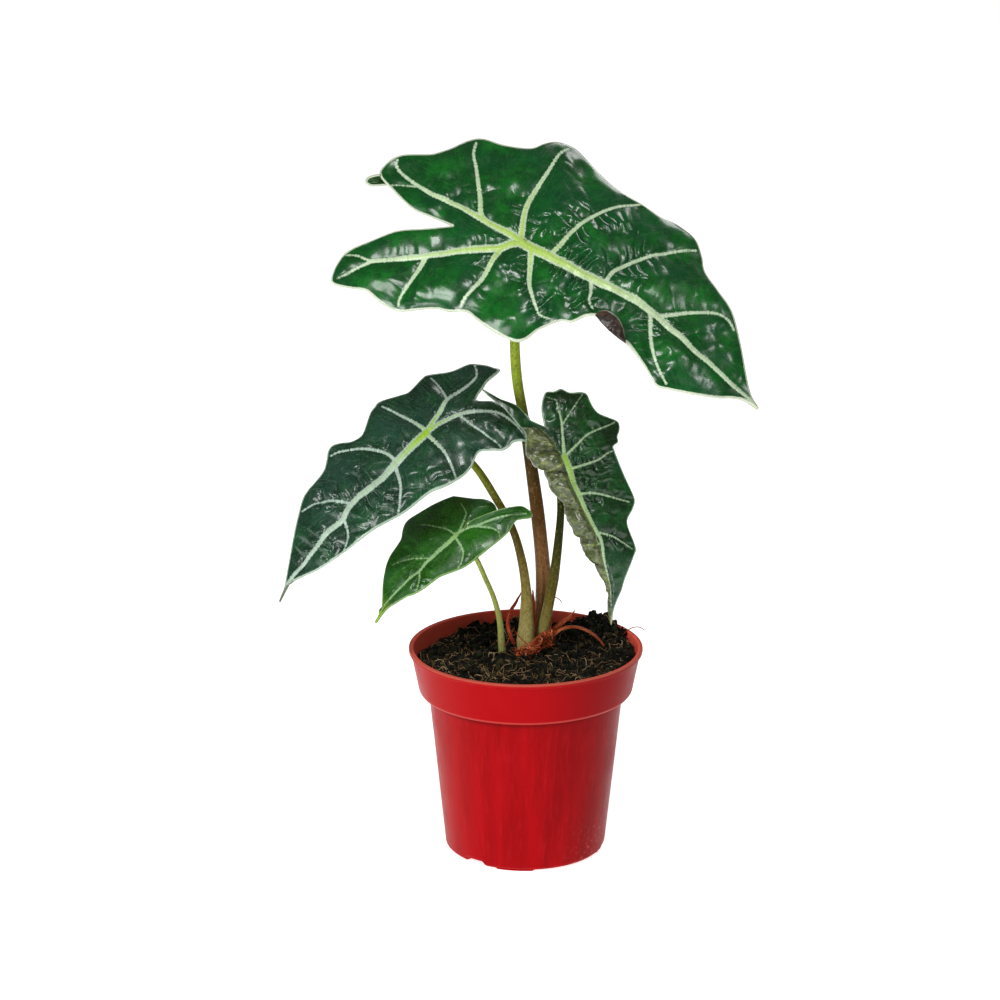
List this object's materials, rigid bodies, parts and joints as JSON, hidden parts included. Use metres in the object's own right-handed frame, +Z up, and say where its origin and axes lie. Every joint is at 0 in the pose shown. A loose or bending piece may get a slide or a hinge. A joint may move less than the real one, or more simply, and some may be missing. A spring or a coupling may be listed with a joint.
{
  "type": "potted alocasia",
  "caption": "Potted houseplant with arrow-shaped, pale-veined leaves on upright stalks in a tapered plastic nursery pot of soil.",
  "frame": {"origin": "centre of the pot's base, on the surface it stands on", "axes": "+Z up along the pot's axis, +X to the onlooker's right, -Y towards the onlooker, where the leaves face"},
  "size_m": [0.2392, 0.1316, 0.359],
  "materials": {
    "pot_plastic": "satin",
    "potting_soil": "matte",
    "stem_base": "matte",
    "stalk": "satin",
    "leaf": "gloss",
    "dry_sheath": "matte",
    "root": "matte"
  },
  "bodies": {
    "root": {"pot": "pot_plastic", "soil": "potting_soil", "corm": "stem_base", "main_stem": "stalk", "left_stem": "stalk", "small_stem": "stalk", "right_stem": "stalk", "main_blade": "leaf", "left_blade": "leaf", "small_blade": "leaf", "right_blade": "leaf", "crown_sheath": "dry_sheath", "arching_sheath": "dry_sheath", "pointed_sheath": "dry_sheath", "thin_sheath": "dry_sheath", "dry_strip": "dry_sheath", "root_1": "root", "root_2": "root", "root_3": "root", "root_4": "root", "root_5": "root", "root_6": "root"}
  },
  "joints": []
}
